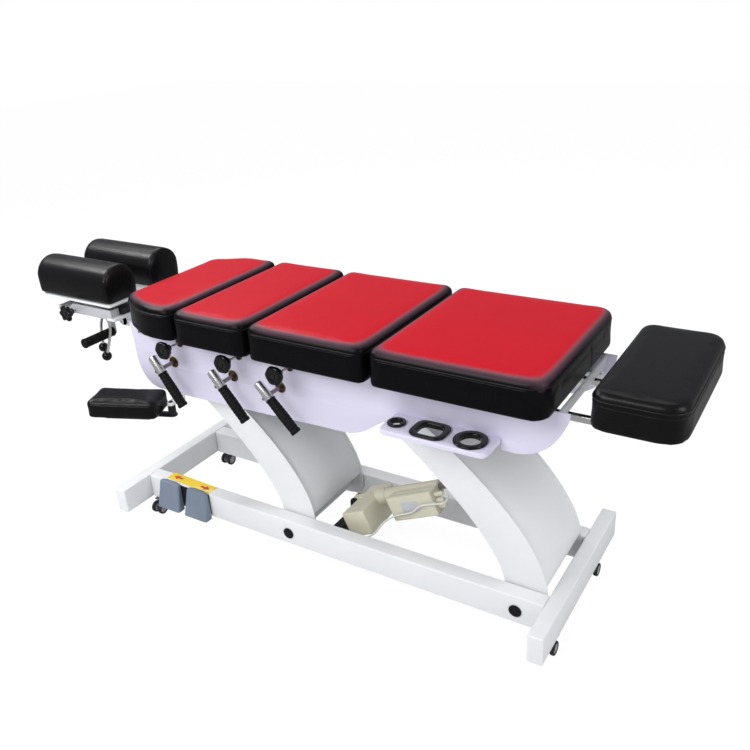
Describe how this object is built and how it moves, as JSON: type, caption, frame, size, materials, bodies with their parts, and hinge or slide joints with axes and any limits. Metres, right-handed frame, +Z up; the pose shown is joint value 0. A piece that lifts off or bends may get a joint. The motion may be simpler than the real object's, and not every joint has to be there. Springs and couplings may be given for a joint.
{
  "type": "chiropractic drop table",
  "caption": "Powered chiropractic table with cushioned sections that drop, cocking levers, a tilting head piece, swinging armrests and a lift on casters.",
  "frame": {"origin": "on the floor, under the middle of the overall bounding box", "axes": "+X runs along the table from the head piece to the foot cushion, +Y to the side without levers, +Z up"},
  "size_m": [2.223, 0.7254, 0.9045],
  "materials": {
    "white_coat": "powder coat",
    "skirt_coat": "powder coat",
    "grey_coat": "satin",
    "dark_steel": "semi-gloss",
    "steel": "brushed",
    "chrome": "polished",
    "black_plastic": "gloss",
    "beige_plastic": "fine texture",
    "pedal_plastic": "fine texture",
    "black_vinyl": "grained vinyl over foam",
    "red_vinyl": "grained vinyl over foam",
    "black_rubber": "matt",
    "cord_white": "smooth"
  },
  "bodies": {
    "base": {"base_foot_head": "white_coat", "base_foot_end": "white_coat", "base_rail_near": "white_coat", "base_rail_far": "white_coat", "lower_shaft_head": "black_plastic", "lower_shaft_foot": "black_plastic", "actuator_crossbar": "dark_steel", "pedal_bracket": "dark_steel"},
    "actuator": {"actuator_body": "beige_plastic", "control_box": "beige_plastic", "control_lead": "cord_white"},
    "actuator_rod": {"actuator_rod": "steel"},
    "caster_head_near": {"caster_yoke_head_near": "dark_steel"},
    "wheels_head_near": {"caster_wheels_head_near": "black_rubber"},
    "caster_head_far": {"caster_yoke_head_far": "dark_steel"},
    "wheels_head_far": {"caster_wheels_head_far": "black_rubber"},
    "caster_foot_near": {"caster_yoke_foot_near": "dark_steel"},
    "wheels_foot_near": {"caster_wheels_foot_near": "black_rubber"},
    "caster_foot_far": {"caster_yoke_foot_far": "dark_steel"},
    "wheels_foot_far": {"caster_wheels_foot_far": "black_rubber"},
    "pedal_head": {"pedal_head": "pedal_plastic"},
    "pedal_foot": {"pedal_foot": "pedal_plastic"},
    "lift_arm_head": {"lift_arm_head": "white_coat"},
    "lift_arm_foot": {"lift_arm_foot": "white_coat"},
    "top": {"upper_frame": "white_coat", "skirt_near": "skirt_coat", "skirt_far": "skirt_coat", "grommet_small": "black_plastic", "grommet_square": "black_plastic", "grommet_round": "black_plastic", "pelvic_cushion": "red_vinyl"},
    "chest": {"chest_plate": "grey_coat", "chest_cushion": "red_vinyl"},
    "chest_lever": {"chest_lever": "chrome", "chest_grip": "black_rubber"},
    "chest_knob": {"chest_knob": "black_plastic"},
    "thoracic": {"thoracic_plate": "grey_coat", "thoracic_cushion": "red_vinyl"},
    "thoracic_lever": {"thoracic_lever": "chrome", "thoracic_grip": "black_rubber"},
    "thoracic_knob": {"thoracic_knob": "black_plastic"},
    "lumbar": {"lumbar_plate": "grey_coat", "lumbar_cushion": "red_vinyl"},
    "lumbar_lever": {"lumbar_lever": "chrome", "lumbar_grip": "black_rubber"},
    "lumbar_knob": {"lumbar_knob": "black_plastic"},
    "foot_section": {"foot_slide": "chrome", "foot_cushion": "black_vinyl"},
    "armrest_near": {"armrest_near_bar": "white_coat", "armrest_near_pad": "black_vinyl"},
    "armrest_far": {"armrest_far_bar": "white_coat", "armrest_far_pad": "black_vinyl"},
    "head_tilt": {"head_tilt_frame": "white_coat"},
    "head_drop": {"head_carriage": "white_coat"},
    "head_cushion_near": {"head_cushion_near": "black_vinyl"},
    "head_cushion_far": {"head_cushion_far": "black_vinyl"},
    "head_knob": {"head_knob": "black_plastic"},
    "head_handle": {"head_handle": "black_rubber"},
    "ball_lever_near": {"ball_lever_near": "chrome"},
    "ball_lever_far": {"ball_lever_far": "chrome"}
  },
  "joints": [
    {"name": "lift", "type": "hinge", "parent": "base", "child": "lift_arm_head", "pos_m": [-0.068, 0, 0.096], "axis": [0, 1, 0], "range_deg": [-22, 3]},
    {"name": "upper_level", "type": "hinge", "parent": "lift_arm_head", "child": "top", "pos_m": [-0.584, 0, 0.666], "axis": [0, 1, 0], "range_deg": [-3, 22]},
    {"name": "foot_arm_swing", "type": "hinge", "parent": "base", "child": "lift_arm_foot", "pos_m": [0.718, 0, 0.096], "axis": [0, 1, 0], "range_deg": [-22, 3]},
    {"name": "actuator_tilt", "type": "hinge", "parent": "base", "child": "actuator", "pos_m": [0.0717, 0, 0.1474], "axis": [0, -1, 0], "range_deg": [-8.14, 1.11]},
    {"name": "rod_slide", "type": "slide", "parent": "actuator", "child": "actuator_rod", "axis": [0.9085, 0, 0.4179], "range_m": [-0.1095, 0.015]},
    {"name": "caster_head_near_swivel", "type": "hinge", "parent": "base", "child": "caster_head_near", "pos_m": [-0.6547, -0.19, 0.021], "axis": [0, 0, 1], "continuous": true},
    {"name": "caster_head_near_roll", "type": "hinge", "parent": "caster_head_near", "child": "wheels_head_near", "pos_m": [-0.6547, -0.21, 0.021], "axis": [1, 0, 0], "continuous": true},
    {"name": "caster_head_far_swivel", "type": "hinge", "parent": "base", "child": "caster_head_far", "pos_m": [-0.6547, 0.19, 0.021], "axis": [0, 0, 1], "continuous": true},
    {"name": "caster_head_far_roll", "type": "hinge", "parent": "caster_head_far", "child": "wheels_head_far", "pos_m": [-0.6547, 0.17, 0.021], "axis": [1, 0, 0], "continuous": true},
    {"name": "caster_foot_near_swivel", "type": "hinge", "parent": "base", "child": "caster_foot_near", "pos_m": [0.822, -0.19, 0.021], "axis": [0, 0, 1], "continuous": true},
    {"name": "caster_foot_near_roll", "type": "hinge", "parent": "caster_foot_near", "child": "wheels_foot_near", "pos_m": [0.822, -0.21, 0.021], "axis": [1, 0, 0], "continuous": true},
    {"name": "caster_foot_far_swivel", "type": "hinge", "parent": "base", "child": "caster_foot_far", "pos_m": [0.822, 0.19, 0.021], "axis": [0, 0, 1], "continuous": true},
    {"name": "caster_foot_far_roll", "type": "hinge", "parent": "caster_foot_far", "child": "wheels_foot_far", "pos_m": [0.822, 0.17, 0.021], "axis": [1, 0, 0], "continuous": true},
    {"name": "pedal_head_press", "type": "hinge", "parent": "base", "child": "pedal_head", "pos_m": [-0.5757, -0.2125, 0.127], "axis": [1, 0, 0], "range_deg": [0, 4], "stiffness_Nm_per_rad": 8, "springref_deg": -2.86},
    {"name": "pedal_foot_press", "type": "hinge", "parent": "base", "child": "pedal_foot", "pos_m": [-0.4487, -0.2125, 0.127], "axis": [1, 0, 0], "range_deg": [0, 4], "stiffness_Nm_per_rad": 8, "springref_deg": -2.86},
    {"name": "chest_drop", "type": "slide", "parent": "top", "child": "chest", "axis": [0, 0, 1], "range_m": [0, 0.018]},
    {"name": "chest_cock", "type": "hinge", "parent": "top", "child": "chest_lever", "pos_m": [-0.474, -0.2565, 0.627], "axis": [0, -1, 0], "range_deg": [0, 30.1]},
    {"name": "chest_tension", "type": "hinge", "parent": "top", "child": "chest_knob", "pos_m": [-0.435, -0.2655, 0.702], "axis": [0, 1, 0], "range_deg": [-180, 180]},
    {"name": "thoracic_drop", "type": "slide", "parent": "top", "child": "thoracic", "axis": [0, 0, 1], "range_m": [0, 0.018]},
    {"name": "thoracic_cock", "type": "hinge", "parent": "top", "child": "thoracic_lever", "pos_m": [-0.225, -0.2565, 0.627], "axis": [0, -1, 0], "range_deg": [0, 30.1]},
    {"name": "thoracic_tension", "type": "hinge", "parent": "top", "child": "thoracic_knob", "pos_m": [-0.194, -0.2655, 0.702], "axis": [0, 1, 0], "range_deg": [-180, 180]},
    {"name": "lumbar_drop", "type": "slide", "parent": "top", "child": "lumbar", "axis": [0, 0, 1], "range_m": [0, 0.018]},
    {"name": "lumbar_cock", "type": "hinge", "parent": "top", "child": "lumbar_lever", "pos_m": [-0.042, -0.2565, 0.627], "axis": [0, -1, 0], "range_deg": [0, 30.1]},
    {"name": "lumbar_tension", "type": "hinge", "parent": "top", "child": "lumbar_knob", "pos_m": [-0.001, -0.2655, 0.702], "axis": [0, 1, 0], "range_deg": [-180, 180]},
    {"name": "foot_section_slide", "type": "slide", "parent": "top", "child": "foot_section", "axis": [1, 0, 0], "range_m": [-0.045, 0.12]},
    {"name": "armrest_near_swing", "type": "hinge", "parent": "top", "child": "armrest_near", "pos_m": [-0.5085, -0.205, 0.47], "axis": [0, 0, 1], "range_deg": [0, 70]},
    {"name": "armrest_far_swing", "type": "hinge", "parent": "top", "child": "armrest_far", "pos_m": [-0.5085, 0.205, 0.47], "axis": [0, 0, -1], "range_deg": [0, 70]},
    {"name": "head_tilt_turn", "type": "hinge", "parent": "top", "child": "head_tilt", "pos_m": [-0.86, 0, 0.66], "axis": [0, 1, 0], "range_deg": [-10, 22]},
    {"name": "head_drop_slide", "type": "slide", "parent": "head_tilt", "child": "head_drop", "axis": [0, 0, 1], "range_m": [0, 0.012]},
    {"name": "head_cushion_near_slide", "type": "slide", "parent": "head_drop", "child": "head_cushion_near", "axis": [0, -1, 0], "range_m": [-0.02, 0.03]},
    {"name": "head_cushion_far_slide", "type": "slide", "parent": "head_drop", "child": "head_cushion_far", "axis": [0, 1, 0], "range_m": [-0.02, 0.03]},
    {"name": "head_knob_turn", "type": "hinge", "parent": "head_tilt", "child": "head_knob", "pos_m": [-0.958, -0.2, 0.7225], "axis": [0, 1, 0], "range_deg": [-180, 180]},
    {"name": "head_handle_turn", "type": "hinge", "parent": "head_tilt", "child": "head_handle", "pos_m": [-0.905, -0.062, 0.615], "axis": [0, 1, 0], "range_deg": [-30, 30]},
    {"name": "ball_lever_near_turn", "type": "hinge", "parent": "head_tilt", "child": "ball_lever_near", "pos_m": [-0.868, -0.112, 0.7], "axis": [0, -1, 0], "range_deg": [0, 20]},
    {"name": "ball_lever_far_turn", "type": "hinge", "parent": "head_tilt", "child": "ball_lever_far", "pos_m": [-0.9, -0.082, 0.7], "axis": [0, 1, 0], "range_deg": [0, 20]}
  ],
  "couplings": [
    {"joint": "upper_level", "follows": "lift", "ratio": -1},
    {"joint": "foot_arm_swing", "follows": "lift", "ratio": 1},
    {"joint": "actuator_tilt", "follows": "lift", "ratio": 0.37},
    {"joint": "rod_slide", "follows": "lift", "m_per_rad": 0.285},
    {"joint": "chest_cock", "follows": "chest_drop", "rad_per_m": 29.1},
    {"joint": "thoracic_cock", "follows": "thoracic_drop", "rad_per_m": 29.1},
    {"joint": "lumbar_cock", "follows": "lumbar_drop", "rad_per_m": 29.1}
  ]
}
